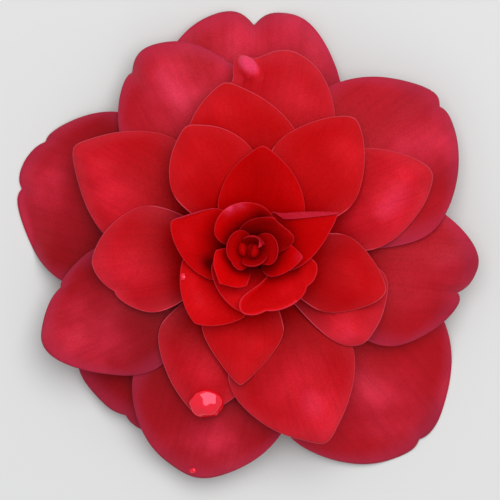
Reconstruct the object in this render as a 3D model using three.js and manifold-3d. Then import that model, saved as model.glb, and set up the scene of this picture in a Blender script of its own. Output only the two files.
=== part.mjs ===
// A camellia flower, picked just under its calyx and set face up on a table.
//
// The bloom is a rose-form double. Petals spring from a tapering receptacle in five whorls that
// climb it, and a tight bud of small petals closes its top. Each petal narrows to a claw at its
// root, spreads into a broad blade and lies over the petals below it. Three of the outermost
// bend down until their tips meet the table. Underneath, bracts and sepals ring the receptacle.
//
// Units are millimetres. +Z is up, the way the flower looks. The origin is the centre of the
// small flat scar under the calyx, where the flower parted from its twig and where it rests.
import * as THREE from "three";
import { mergeVertices } from "three/addons/utils/BufferGeometryUtils.js";
import Module from "manifold-3d";

const wasm = await Module();
wasm.setup();

// ---- driving dimensions ----
const BLADE_THICKNESS = 0.6;
const SEAT_GAP = 0.3; // between the receptacle's skin and a petal's root
const SCAR_RADIUS = 2.6;
const RECEPTACLE_TOP = 20.2;
const RECEPTACLE_SIDES = 20;
const RED = 0xc4141c;
const GREEN = 0x6f7a3c;

// The receptacle's outline from the scar to near its top: [radius, height].
const RECEPTACLE = [
  [SCAR_RADIUS, 0],
  [3.2, 1.2],
  [4.6, 2.4],
  [4.8, 7.5],
  [3.9, 12],
  [2.9, 16],
  [1.6, 19.6],
  [0.9, RECEPTACLE_TOP],
];

// How every blade is shaped, as shares of its length or of its half width.
const MIDRIB_HANDLE = 0.36; // how far the slopes at root and tip carry along the midrib
const CREST_HALF_WIDTH = 0.3;
const CREST_ONSET = 2.5; // powers of the share of the length, so that both grow towards the tip
const WAVE_ONSET = 3;
const NOTCH_SPREAD = 1.5; // half widths of a notch from its middle to the line each side of it
const CUP_START = 0.1;
const CUP_FULL = 0.7;
const SAME_POINT = 1e-4; // corners closer than this are one, when bodies are joined

// ---- the petals ----
// Each whorl gives what its petals share, and each petal what is its own:
//   grid     lines of faces along the blade and across it
//   azimuth  compass angle of its midrib, in degrees from +X towards +Y
//   reach    how far its tip stands from the flower's axis
//   left     half width at the broadest, on the side of rising azimuth
//   right    the same on the other side
//   tip      height of the tip
//   level    place in the overlap: each level is seated one levelStep above the one below
//   rise     slope of the midrib as it leaves the receptacle, in degrees above level
//   droop    slope of the midrib at the tip, below level when negative
//   broadest share of the length from the root at which the blade is widest
//   shoulder share of the length from the tip back to where the margins start to close
//   blunt    outline of the tip: 1.2 is a sharp point, 2 is round, 2.6 is square-shouldered
//   cup      how far the margins stand above the midrib, or below it when negative
//   crest    height of the fold that runs along the midrib to the tip
//   wave     height of the ripple across the blade, with waves half turns of it
//   notches  cuts in the margin: [place across from -1 to 1, depth in mm, half width across]
//   round    true for a petal that closes round the heart, bent about the flower's axis
const EVERY_PETAL = {
  broadest: 0.68,
  shoulder: 0.5,
  cup: 0,
  crest: 0,
  wave: 0,
  waves: 2.5,
  notches: [],
  round: false,
};

const WHORLS = [
  {
    name: "guard_petal",
    grid: [8, 12],
    seatHeight: 5.1,
    levelStep: 1,
    clawWidth: 3,
    rise: 28,
    droop: -28,
    blunt: 2,
    cup: -0.6,
    crest: 0.5,
    wave: 0.4,
    petals: [
      { azimuth: 89, reach: 49.6, left: 21, right: 18.5, tip: 0.1, level: -0.5, rise: 24,
        blunt: 2.2, notches: [[0.02, 3.2, 0.1]] },
      { azimuth: 118, reach: 46.6, left: 14, right: 16.5, tip: 6, level: 1,
        notches: [[0.33, 1.2, 0.08]] },
      { azimuth: 163, reach: 51, left: 18.5, right: 20, tip: 0.1, level: 0, rise: 24,
        blunt: 2.1, notches: [[0.1, 1.2, 0.07]] },
      { azimuth: 203, reach: 46.3, left: 15.5, right: 13.5, tip: 7, level: 2, rise: 30,
        blunt: 1.8, notches: [[-0.62, 1, 0.08]] },
      { azimuth: 228, reach: 44.4, left: 17, right: 17, tip: 2.5, level: -1, rise: 18,
        blunt: 2.6, notches: [[0.2, 1.6, 0.15]] },
      { azimuth: 254, reach: 48.2, left: 17.5, right: 17, tip: 5.5, level: 1, rise: 26 },
      { azimuth: 311, reach: 53.2, left: 21.5, right: 20, tip: 0.1, level: 0, rise: 22,
        blunt: 2.1, notches: [[0.02, 1, 0.07]] },
      { azimuth: 355, reach: 46, left: 15, right: 18, tip: 7, level: 1,
        blunt: 1.9, notches: [[-0.28, 2, 0.07]] },
      { azimuth: 37, reach: 49.8, left: 18, right: 20, tip: 8, level: 2, rise: 36,
        notches: [[0.02, 1.2, 0.07]] },
    ],
  },
  {
    name: "outer_petal",
    grid: [8, 10],
    seatHeight: 8.8,
    levelStep: 0.95,
    clawWidth: 2.8,
    rise: 36,
    droop: -24,
    blunt: 1.7,
    cup: -0.8,
    crest: 0.7,
    wave: 0.2,
    petals: [
      { azimuth: 79, reach: 41.4, left: 13, right: 12.5, tip: 12.8, level: 1.2, rise: 37,
        blunt: 2.1 },
      { azimuth: 150, reach: 41.5, left: 13.3, right: 12.3, tip: 10.5, level: 0, rise: 32 },
      { azimuth: 184, reach: 32.5, left: 11.8, right: 11, tip: 14, level: 1.2,
        blunt: 1.9, notches: [[0.55, 1, 0.08]] },
      { azimuth: 251, reach: 35, left: 10.5, right: 13.5, tip: 11.2, level: -0.2, rise: 33,
        blunt: 1.5 },
      { azimuth: 290, reach: 41.2, left: 13.3, right: 14.5, tip: 12, level: 1, rise: 37 },
      { azimuth: 329, reach: 30, left: 11, right: 7.8, tip: 15.8, level: 2.1, rise: 40,
        blunt: 3.2, broadest: 0.95 },
      { azimuth: 23, reach: 40, left: 11.9, right: 10.2, tip: 13, level: 0, rise: 35 },
    ],
  },
  {
    name: "middle_petal",
    grid: [8, 10],
    seatHeight: 12,
    levelStep: 0.95,
    clawWidth: 2.6,
    rise: 46,
    droop: -20,
    blunt: 1.7,
    cup: -0.3,
    crest: 0.6,
    wave: 0.1,
    petals: [
      { azimuth: 98, reach: 34, left: 11.7, right: 13.3, tip: 15.9, level: 0, rise: 43 },
      { azimuth: 52, reach: 34, left: 10, right: 11, tip: 16.6, level: 1.5, blunt: 1.6 },
      { azimuth: 117, reach: 27.9, left: 9.5, right: 9.8, tip: 18.8, level: 2.2, blunt: 1.9 },
      { azimuth: 265, reach: 27.5, left: 8.5, right: 9.6, tip: 16, level: 0, blunt: 1.3 },
      { azimuth: 343, reach: 28.7, left: 9, right: 8.2, tip: 17.5, level: 2, blunt: 1.6 },
    ],
  },
  {
    name: "inner_petal",
    grid: [8, 12],
    seatHeight: 14.6,
    levelStep: 0.8,
    clawWidth: 2.4,
    rise: 52,
    droop: -6,
    broadest: 0.55,
    round: true,
    petals: [
      { azimuth: 84, reach: 20.8, left: 8.8, right: 12, tip: 21.8, level: 0.2, blunt: 1.5 },
      { azimuth: 25, reach: 19.6, left: 6.8, right: 10.2, tip: 27.2, level: 4.1, rise: 60,
        blunt: 1.1, broadest: 0.7, shoulder: 0.6 },
      { azimuth: 161, reach: 17.5, left: 10, right: 6.2, tip: 23.3, level: 1.2, blunt: 1.4 },
      { azimuth: 232, reach: 19, left: 7.5, right: 11.5, tip: 20.8, level: 0, blunt: 1.6,
        shoulder: 0.3 },
      { azimuth: 259, reach: 12.8, left: 5, right: 9, tip: 22.9, level: 2.1, blunt: 1.2,
        shoulder: 0.35 },
      { azimuth: 311, reach: 14.5, left: 8.8, right: 11.4, tip: 24.7, level: 3, rise: 56,
        blunt: 3, shoulder: 0.15 },
    ],
  },
  {
    name: "collar_petal",
    grid: [7, 10],
    seatHeight: 18.2,
    levelStep: 0.6,
    clawWidth: 2,
    rise: 66,
    droop: 42,
    broadest: 0.6,
    shoulder: 0.35,
    round: true,
    petals: [
      { azimuth: 115, reach: 9.9, left: 6.2, right: 8, tip: 28, level: 0, blunt: 2.2,
        broadest: 0.8, shoulder: 0.25 },
      { azimuth: 352, reach: 10.4, left: 3, right: 5.5, tip: 28.6, level: 1, blunt: 1.2,
        shoulder: 0.4 },
      { azimuth: 226, reach: 9.1, left: 4.2, right: 5.4, tip: 28, level: 1, blunt: 1.6,
        broadest: 0.8, shoulder: 0.3 },
      { azimuth: 22, reach: 8.2, left: 8.5, right: 4.2, tip: 28.8, level: 2.5, rise: 75,
        blunt: 1.6, shoulder: 0.4 },
    ],
  },
];

// The bud at the heart is one body. Four petals stand round it, a small flap is tucked between
// two of them, and a pair of rolled petals fills its middle. All are rooted in a short cone.
const BUD = {
  name: "heart_bud",
  grid: [6, 6],
  seatHeight: 21.3,
  levelStep: 0.5,
  rootRadius: 0.9,
  clawWidth: 1.6,
  rise: 74,
  droop: 75,
  shoulder: 0.3,
  blunt: 2.4,
  round: true,
  petals: [
    { azimuth: 166, reach: 5.2, left: 4, right: 4, tip: 27.6, level: 0 },
    { azimuth: 0, reach: 5.3, left: 4, right: 3.4, tip: 28.2, level: 0 },
    { azimuth: 78, reach: 2.7, left: 2.6, right: 2.8, tip: 28.8, level: 1, droop: 118 },
    { azimuth: 284, reach: 3.2, left: 3, right: 3, tip: 27.4, level: 1, droop: 112 },
    { azimuth: 224, reach: 4, left: 1.8, right: 1.8, tip: 26.8, level: 1 },
  ],
};
const BUD_CONE = [
  [1.5, RECEPTACLE_TOP + SEAT_GAP],
  [1.9, 22],
  [1.5, 23.5],
];
const BUD_CONE_SIDES = 12;

// The rolled petals. Each is a pod, deeper one way than the other: [radius, share of height].
const ROLLS = [
  { x: -1.9, y: 0.1, turn: 10, top: 26.6 },
  { x: 0.5, y: -0.2, turn: -10, top: 26.9 },
];
const ROLL_OUTLINE = [
  [0.35, 0],
  [0.9, 0.45],
  [1, 0.75],
  [0.7, 0.93],
];
const ROLL_FOOT = 22;
const ROLL_DEPTH = 1.5; // its other width over this one
const ROLL_SIDES = 10;

// The calyx is one body with the receptacle: three bracts, and five sepals over them.
const CALYX = {
  name: "calyx",
  grid: [4, 6],
  levelStep: 0.35,
  rootRadius: 3.4,
  clawWidth: 6,
  rise: 10,
  droop: 8,
  blunt: 2,
  cup: -0.3,
};
const BRACT = { reach: 9, left: 4.5, right: 4.5, seatHeight: 2.1, tip: 2.5, level: 0 };
const BRACT_COUNT = 3;
const FIRST_BRACT = 20;
const SEPAL = { reach: 12.6, left: 6, right: 6, seatHeight: 2.6 };
const SEPAL_COUNT = 5;
const FIRST_SEPAL = 66;
const SEPAL_TIPS = [4.4, 4.4, 4, 4.4, 4.4]; // the third is pressed down by the petal over it
const SEPAL_LEVELS = [1, 1, 0, 1, 0];

// ---- geometry ----
const degrees = THREE.MathUtils.degToRad;
const { lerp, mapLinear, smoothstep } = THREE.MathUtils;

// Radius of the receptacle's skin at a height.
function receptacleRadius(height) {
  const upper = RECEPTACLE.findIndex(([, z]) => z >= height);
  const [lowRadius, low] = RECEPTACLE[upper - 1];
  const [highRadius, high] = RECEPTACLE[upper];
  return mapLinear(height, low, high, lowRadius, highRadius);
}

// Gives a petal what it shares with its whorl, and works out where it is rooted.
function petalOf(whorl, own) {
  const petal = { ...EVERY_PETAL, ...whorl, ...own };
  petal.rootHeight = petal.seatHeight + petal.level * petal.levelStep;
  if (petal.rootRadius === undefined) {
    const halfBlade = (BLADE_THICKNESS / 2) * Math.sin(degrees(petal.rise));
    petal.rootRadius = receptacleRadius(petal.rootHeight) + SEAT_GAP + halfBlade;
  }
  return petal;
}

// A step of a given length up a slope, in the petal's upright plane.
function stepUp(slope, length) {
  const angle = degrees(slope);
  return new THREE.Vector2(length * Math.cos(angle), length * Math.sin(angle));
}

// The midrib is one cubic curve in the petal's upright plane. x is out from the axis, y is up.
function midribOf(petal) {
  const root = new THREE.Vector2(petal.rootRadius, petal.rootHeight);
  const tip = new THREE.Vector2(petal.reach, petal.tip);
  const handle = root.distanceTo(tip) * MIDRIB_HANDLE;
  const leaving = root.clone().add(stepUp(petal.rise, handle));
  const arriving = tip.clone().sub(stepUp(petal.droop, handle));
  return new THREE.CubicBezierCurve(root, leaving, arriving, tip);
}

// Share of the midrib's length at which the margin lies, for a place across from -1 to 1.
function marginAt(petal, across) {
  const round = (1 - Math.abs(across) ** petal.blunt) ** (1 / petal.blunt);
  let margin = 1 - petal.shoulder * (1 - round);
  for (const [place, depth, halfWidth] of petal.notches) {
    margin -= (depth / petal.reach) * Math.exp(-(((across - place) / halfWidth) ** 2));
  }
  return margin;
}

// Distance from the midrib to the margin on one side, at a share of the length.
function halfWidthAt(petal, along, across) {
  const spread = Math.sin((Math.PI / 2) * Math.min(1, along / petal.broadest));
  return lerp(petal.clawWidth / 2, across > 0 ? petal.left : petal.right, spread);
}

// A point of the blade's middle layer. u runs from root to margin and across from -1 to 1.
// In a petal that closes round the heart, the way sideways is an arc about the flower's axis.
function bladePoint(petal, midrib, u, across) {
  const along = u * marginAt(petal, across);
  const rib = midrib.getPoint(along);
  const slope = midrib.getTangent(along);
  let sideways = across * halfWidthAt(petal, along, across);
  let raised = petal.cup * across ** 2 * smoothstep(along, CUP_START, CUP_FULL);
  raised += petal.crest * Math.exp(-((across / CREST_HALF_WIDTH) ** 2)) * along ** CREST_ONSET;
  raised += petal.wave * Math.sin(Math.PI * petal.waves * across) * along ** WAVE_ONSET;
  let outwards = rib.x - raised * slope.y;
  if (petal.round) {
    const turn = sideways / rib.x;
    sideways = outwards * Math.sin(turn);
    outwards *= Math.cos(turn);
  }
  return new THREE.Vector3(outwards, sideways, rib.y + raised * slope.x);
}

// Places across the blade for its lines of faces: closer at the margins, and three at a notch.
function columnsOf(petal) {
  const [, count] = petal.grid;
  const columns = [];
  for (let j = 0; j <= count; j += 1) {
    columns.push(Math.sin((Math.PI / 2) * ((2 * j) / count - 1)));
  }
  for (const [place, , halfWidth] of petal.notches) {
    const distances = columns.map((across) => Math.abs(across - place));
    const nearest = distances.indexOf(Math.min(...distances));
    [-1, 0, 1].forEach((side) => {
      columns[nearest + side] = place + side * NOTCH_SPREAD * halfWidth;
    });
  }
  return columns;
}

// Triangles of a sheet of rows by columns. The diagonals alternate, like a chequerboard.
function sheetTriangles(rows, columns) {
  const triangles = [];
  for (let i = 0; i < rows; i += 1) {
    for (let j = 0; j < columns; j += 1) {
      const first = i * (columns + 1) + j;
      const corners = [first, first + columns + 1, first + columns + 2, first + 1];
      if ((i + j) % 2) corners.push(corners.shift());
      triangles.push(corners[0], corners[1], corners[2], corners[0], corners[2], corners[3]);
    }
  }
  return triangles;
}

// Edges of such a sheet, all the way round it.
function sheetRim(rows, columns) {
  const rim = [];
  const last = rows * (columns + 1);
  for (let j = 0; j < columns; j += 1) {
    rim.push([j, j + 1], [last + j + 1, last + j]);
  }
  for (let i = 0; i < rows; i += 1) {
    const first = i * (columns + 1);
    const next = first + columns + 1;
    rim.push([next, first], [first + columns, next + columns]);
  }
  return rim;
}

// A closed blade: the middle layer moved half a thickness to each side, joined by a rim.
function bladeGeometry(petal) {
  const midrib = midribOf(petal);
  const [rows, columns] = petal.grid;
  const points = [];
  for (let i = 0; i <= rows; i += 1) {
    columnsOf(petal).forEach((across) => points.push(bladePoint(petal, midrib, i / rows, across)));
  }
  const triangles = sheetTriangles(rows, columns);
  const middle = new THREE.BufferGeometry().setFromPoints(points).setIndex(triangles);
  middle.computeVertexNormals();
  const normals = middle.getAttribute("normal");
  const skins = [];
  for (const side of [BLADE_THICKNESS / 2, -BLADE_THICKNESS / 2]) {
    points.forEach((point, i) => {
      const normal = new THREE.Vector3().fromBufferAttribute(normals, i);
      skins.push(point.clone().addScaledVector(normal, side));
    });
  }
  const under = points.length;
  const index = [...triangles];
  for (let k = 0; k < triangles.length; k += 3) {
    index.push(triangles[k] + under, triangles[k + 2] + under, triangles[k + 1] + under);
  }
  for (const [a, b] of sheetRim(rows, columns)) {
    index.push(a, b, b + under, a, b + under, a + under);
  }
  return new THREE.BufferGeometry().setFromPoints(skins).setIndex(index);
}

// A body turned about the flower's axis. Its outline runs upwards, and its ends are brought in
// to the axis.
function turnedGeometry(outline, sides) {
  const [, bottom] = outline[0];
  const [, top] = outline[outline.length - 1];
  const profile = [[0, bottom], ...outline, [0, top]].map(([r, z]) => new THREE.Vector2(r, z));
  return new THREE.LatheGeometry(profile, sides).rotateX(Math.PI / 2);
}

// A rolled petal of the bud, standing in the bud's cone. It comes to a blunt point.
function rollGeometry(roll) {
  const outline = ROLL_OUTLINE.map(([radius, share]) => [radius, lerp(ROLL_FOOT, roll.top, share)]);
  return turnedGeometry(outline, ROLL_SIDES)
    .scale(1, ROLL_DEPTH, 1)
    .rotateZ(degrees(roll.turn))
    .translate(roll.x, roll.y, 0);
}

// One body out of closed geometries that run into each other.
function joined(geometries) {
  const solids = geometries.map((geometry) => {
    const bare = new THREE.BufferGeometry();
    bare.setAttribute("position", geometry.toNonIndexed().getAttribute("position"));
    const merged = mergeVertices(bare, SAME_POINT);
    const vertProperties = merged.getAttribute("position").array;
    const triVerts = new Uint32Array(merged.getIndex().array);
    return new wasm.Manifold(new wasm.Mesh({ numProp: 3, vertProperties, triVerts }));
  });
  const mesh = solids.reduce((sum, next) => sum.add(next)).getMesh();
  const geometry = new THREE.BufferGeometry();
  geometry.setAttribute("position", new THREE.BufferAttribute(mesh.vertProperties, 3));
  return geometry.setIndex(new THREE.BufferAttribute(mesh.triVerts, 1));
}

// ---- assembly ----
const petalSkin = new THREE.MeshStandardMaterial({ color: RED, roughness: 0.5, metalness: 0 });
const calyxSkin = new THREE.MeshStandardMaterial({ color: GREEN, roughness: 0.7, metalness: 0 });

function meshOf(name, geometry, material) {
  const mesh = new THREE.Mesh(geometry, material);
  mesh.name = name;
  return mesh;
}

// A petal turned to its azimuth, for one that is joined to others.
function turnedBlade(whorl, own) {
  return bladeGeometry(petalOf(whorl, own)).rotateZ(degrees(own.azimuth));
}

function heartBud() {
  const petals = BUD.petals.map((own) => turnedBlade(BUD, own));
  const cone = turnedGeometry(BUD_CONE, BUD_CONE_SIDES);
  return meshOf(BUD.name, joined([cone, ...ROLLS.map(rollGeometry), ...petals]), petalSkin);
}

function calyx() {
  const pieces = [turnedGeometry(RECEPTACLE, RECEPTACLE_SIDES)];
  for (let i = 0; i < BRACT_COUNT; i += 1) {
    const azimuth = FIRST_BRACT + (i * 360) / BRACT_COUNT;
    pieces.push(turnedBlade(CALYX, { ...BRACT, azimuth }));
  }
  for (let i = 0; i < SEPAL_COUNT; i += 1) {
    const azimuth = FIRST_SEPAL + (i * 360) / SEPAL_COUNT;
    const own = { ...SEPAL, azimuth, tip: SEPAL_TIPS[i], level: SEPAL_LEVELS[i] };
    pieces.push(turnedBlade(CALYX, own));
  }
  return meshOf(CALYX.name, joined(pieces), calyxSkin);
}

const flower = new THREE.Group();
flower.name = "camellia_flower";
flower.add(calyx(), heartBud());

for (const whorl of WHORLS) {
  whorl.petals.forEach((own, i) => {
    const petal = meshOf(`${whorl.name}_${i + 1}`, bladeGeometry(petalOf(whorl, own)), petalSkin);
    petal.rotation.z = degrees(own.azimuth);
    flower.add(petal);
  });
}

export default flower;
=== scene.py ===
# %% [markdown]
# # A camellia flower
# The bloom is a rose-form double, picked just under its calyx and set face up on a table. Its
# petals spring from a tapering receptacle in five whorls that climb it, and a tight bud closes
# the top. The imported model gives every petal's place and outline as a thick plain blade. This
# lesson replaces each of them with a fine one: thin at the margin, rippled, veined and velvety.
# We could sculpt each petal, but a petal is a sheet with a rule to it, so one function bends
# every one of them from a flat grid, and a table says how each differs.

# %% Load the frame
import math

import bmesh
import bpy
from mathutils import Matrix, Vector, noise


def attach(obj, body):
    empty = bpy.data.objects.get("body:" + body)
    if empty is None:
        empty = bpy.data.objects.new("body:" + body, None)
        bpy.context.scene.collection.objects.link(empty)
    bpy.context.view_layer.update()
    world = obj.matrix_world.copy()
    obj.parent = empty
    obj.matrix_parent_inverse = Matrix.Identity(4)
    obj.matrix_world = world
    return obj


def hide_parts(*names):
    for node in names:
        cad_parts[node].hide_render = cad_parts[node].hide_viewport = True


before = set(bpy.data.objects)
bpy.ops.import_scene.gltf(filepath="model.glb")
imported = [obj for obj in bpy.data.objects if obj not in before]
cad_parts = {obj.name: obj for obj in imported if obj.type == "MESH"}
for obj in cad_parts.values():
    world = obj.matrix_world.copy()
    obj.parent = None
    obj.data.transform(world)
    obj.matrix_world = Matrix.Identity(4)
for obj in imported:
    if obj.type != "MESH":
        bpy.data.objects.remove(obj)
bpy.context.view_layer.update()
scene = bpy.context.scene
MM = 0.001
print("frame loaded:", len(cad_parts), "nodes")

# %% [markdown]
# ## Camera
# The flower is looked at from straight above, from far enough away that its depth hardly
# changes the outline. A long lens does that. Its focal length follows from the width that the
# picture takes in.

# %% Camera
CAMERA_DISTANCE = 1200 * MM
PICTURE_WIDTH = 103.25 * MM
CAMERA_AIM = Vector((-0.41, 0, 8)) * MM

camera_data = bpy.data.cameras.new("camera")
camera_data.sensor_width = 36
camera_data.lens = camera_data.sensor_width * CAMERA_DISTANCE / PICTURE_WIDTH
camera = bpy.data.objects.new("camera", camera_data)
camera.location = CAMERA_AIM + Vector((0, 0, CAMERA_DISTANCE))
scene.collection.objects.link(camera)
scene.camera = camera
scene.view_settings.view_transform = "Standard"
print("lens:", round(camera_data.lens), "mm")

# %% [markdown]
# ## The petals' sizes
# Each whorl gives what its petals share, and each petal what is its own, all in millimetres and
# degrees. A petal stands at an azimuth and reaches to its tip. Left is the side of rising
# azimuth. seat is the height at which a whorl springs from the receptacle, and level moves one
# petal up or down from it. rise and droop are the slopes of the midrib at the root and at the
# tip. claw, broadest, shoulder and blunt draw the outline. cup, crest, wave and reflex bend the
# whole sheet, and the shade zone says where the painted shade at the root fades out along it.
# Nearly all of the outline and the midrib is what the imported blades were made from, so the
# fine petals lie where the plain ones do.
#
# Finer features are lists, so that a petal can have none or many. Places on a petal are given as
# out, along the sheet from its root, and side, to the left of the midrib.
# - A notch is a place across the blade, a depth and a half width. A negative depth is a point.
# - A fold is a place across, a drop, a roundness, and the share of the length where it starts.
# - A swell is out, side, a height and a radius.
# - Soft round spots of painted highlight and of painted shade: out, side, strength, radius.
# - A curl is a point of its line, a direction, a radius, the most that it turns, and its start.
# - A pull drags the outline: a place, a shift and a radius. A knob is a margin folded up in a
#   lump, with a painted sheen on its face, and lips are the left and right margins rolled up a
#   little, with a painted highlight along them.

# %% What every petal has, unless its row says otherwise
EVERY_PETAL = dict(
    broadest=0.68, shoulder=0.5, right_spread=None, root_radius=None, level=0, lean=0,
    thickness=0.45, round=False, cup=0, crest=0, wave=0, waves=2.5, ripple=0.15, reflex=-0.08,
    notches=[], folds=[], swells=[], curls=[], pulls=[], knob=None, lips=(0, 0),
    blush_and_highlight=0.5, root_shade_zone=(0.3, 0.85), painted_highlights=[], painted_shades=[],
)
WHORLS = {}
print("shared values:", len(EVERY_PETAL))

# %% Guard petals
WHORLS["guard_petal"] = dict(
    seat=5.1, level_step=1, claw=3, rise=28, droop=-28, blunt=2, cup=-0.6, crest=0.5,
    wave=0.4, blush_and_highlight=0.3, reflex=0.1, root_shade_zone=(0.1, 0.55),
    petals=[
        dict(azimuth=89, reach=49.6, left=21, right=18.5, tip=0.1, level=-0.5, rise=24,
             blunt=2.2, notches=[(0.02, 3.2, 0.1)], folds=[(0.02, -3.5, 0.06, 0.75)],
             swells=[(38, 5, 0.8, 5), (41, -8.4, 0.7, 4), (36, -14, 0.4, 4)],
             painted_shades=[(34, -13.6, 0.6, 4)]),
        dict(azimuth=118, reach=46.6, left=14, right=16.5, tip=6, level=1,
             notches=[(0.33, 1.2, 0.08)], folds=[(-0.05, 3, 0.2, 0.5), (0.33, -2, 0.05, 0.75)],
             swells=[(36.7, 0, 0.9, 4), (30, -1.5, 0.8, 4)],
             painted_highlights=[(28, -2, 0.4, 5), (32.3, -13, 0.4, 4)]),
        dict(azimuth=163, reach=51, left=18.5, right=20, tip=0.1, level=0, rise=24,
             blunt=2.1, notches=[(0.1, 1.2, 0.07), (-0.45, 1, 0.05)],
             folds=[(-0.2, 4, 0.08, 0.65)], swells=[(42, -1, 0.6, 4), (42, 5, 0.3, 5)],
             blush_and_highlight=0.15, root_shade_zone=(0.5, 1.1)),
        dict(azimuth=203, reach=46.3, left=15.5, right=13.5, tip=7, level=2, rise=30,
             blunt=1.8, notches=[(-0.62, 1.3, 0.05)],
             folds=[(-0.62, -2, 0.06, 0.75), (0.1, 3, 0.3, 0.4)], swells=[(34, 3, 0.8, 6)],
             blush_and_highlight=0.15, root_shade_zone=(0.45, 1.1)),
        dict(azimuth=228, reach=44.4, left=17, right=17, tip=2.5, level=-1, rise=18,
             blunt=2.6, notches=[(0.2, 1.6, 0.15)], blush_and_highlight=0.1,
             root_shade_zone=(0.7, 1.3)),
        dict(azimuth=254, reach=48.2, left=17.5, right=17, tip=5.5, level=1, rise=26,
             folds=[(0.15, 2, 0.3, 0.5)], swells=[(37, 3.4, 0.7, 5)], blush_and_highlight=0.2,
             root_shade_zone=(0.4, 1.1)),
        dict(azimuth=311, reach=53.2, left=21.5, right=20, tip=0.1, level=0, rise=22,
             blunt=2.1, notches=[(0.02, 1, 0.07)],
             folds=[(-0.06, 4, 0.12, 0.45), (0.15, -1.5, 0.05, 0.6), (0.3, 1.5, 0.05, 0.6),
                    (0.42, -1, 0.05, 0.6)],
             swells=[(36, -1.5, 0.8, 4), (44, -2, 0.6, 3)],
             painted_shades=[(48, 5.8, 1, 4), (49.5, 1.7, 0.6, 4)],
             painted_highlights=[(28, -2.3, 0.35, 5), (30.5, -16.8, 0.4, 6)]),
        dict(azimuth=355, reach=46, left=15, right=18, tip=7, level=1, blunt=1.9,
             notches=[(-0.28, 1.7, 0.05)], folds=[(0.05, 3, 0.2, 0.5), (-0.28, -3, 0.06, 0.75)],
             swells=[(36.7, -0.7, 0.4, 4)], blush_and_highlight=0.2,
             painted_highlights=[(26.8, -5.5, 0.3, 5), (30.7, -2.1, 0.2, 4)],
             painted_shades=[(38.4, -8.2, 1, 4), (39.6, 2.3, 1, 4)]),
        dict(azimuth=37, reach=49.8, left=18, right=20, tip=8, level=2, rise=36,
             notches=[(0.02, 1.2, 0.07)], folds=[(0.12, 3.5, 0.08, 0.4)],
             swells=[(43, -5, 0.8, 4)],
             painted_highlights=[(35, -6, 0.4, 4), (34.4, -1.6, 0.4, 3), (31.9, 1.4, 0.2, 3)],
             painted_shades=[(40.3, -11.1, 0.7, 5), (42.8, 4.2, 0.7, 5)]),
    ],
)
print("guard petals:", len(WHORLS["guard_petal"]["petals"]))

# %% Outer petals
WHORLS["outer_petal"] = dict(
    seat=8.8, level_step=0.95, claw=2.8, rise=36, droop=-24, blunt=1.7, cup=-0.8, crest=0.7,
    wave=0.2, blush_and_highlight=0.3,
    petals=[
        dict(azimuth=79, reach=41.4, left=13, right=12.5, tip=12.8, level=1.2, rise=37,
             blunt=2.1, folds=[(-0.1, 2, 0.3, 0.4)],
             pulls=[((33.2, 8.8), (3, 1.6), 2.3), ((30.8, 9.6), (0, -1.4), 1.3)],
             knob=dict(place=((34, 7.8), (2.9, 1.5), 49), rise=2, blush_and_highlight=1.5),
             painted_highlights=[(35.4, 8.8, 1, 1.6), (30, -3, 0.45, 4)]),
        dict(azimuth=150, reach=41.5, left=13.3, right=12.3, tip=10.5, level=0, rise=32,
             notches=[(0, -0.5, 0.2)], folds=[(-0.05, 4, 0.08, 0.45)],
             swells=[(27, 5.6, 0.8, 5), (34, 1.5, 0.6, 3)]),
        dict(azimuth=184, reach=32.5, left=11.8, right=11, tip=14, level=1.2, blunt=1.9,
             notches=[(0.55, 1, 0.08)], folds=[(0, 2, 0.2, 0.45)],
             swells=[(24.9, -0.4, 0.5, 4), (20.5, 5, 0.5, 3.5)], lips=(0.3, 0),
             painted_shades=[(28.2, -0.4, 0.6, 2.5)]),
        dict(azimuth=251, reach=35, left=10.5, right=13.5, tip=11.2, level=-0.2, rise=33,
             blunt=1.5, folds=[(-0.6, -0.8, 0.15, 0.3)], swells=[(23, -1.6, 0.5, 4)],
             root_shade_zone=(0.5, 1.05)),
        dict(azimuth=290, reach=41.2, left=13.3, right=14.5, tip=12, level=1, rise=37,
             notches=[(0.06, -0.9, 0.2)], folds=[(0.1, 1, 0.25, 0.4)],
             swells=[(34, 1.6, 0.5, 4)], painted_highlights=[(27, 0.5, 0.7, 6), (31, 0.5, 0.3, 5)]),
        dict(azimuth=329, reach=30, left=11, right=7.8, tip=15.8, level=2.1, rise=40,
             blunt=3.6, broadest=0.95, folds=[(-0.4, 1.8, 0.2, 0.4)],
             swells=[(23.4, -4.5, 0.6, 3)], painted_highlights=[(22.6, -5.2, 0.5, 4)]),
        dict(azimuth=23, reach=40, left=11.9, right=10.2, tip=13, level=0, rise=35,
             folds=[(0.12, 1.8, 0.08, 0.45)], swells=[(29.5, -0.5, 1, 4.5), (24, -4, 0.6, 4)],
             painted_highlights=[(23.6, -3.5, 0.35, 4), (18.3, -2.6, 0.3, 4)], root_shade_zone=(0.1, 0.6)),
    ],
)
print("outer petals:", len(WHORLS["outer_petal"]["petals"]))

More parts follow.
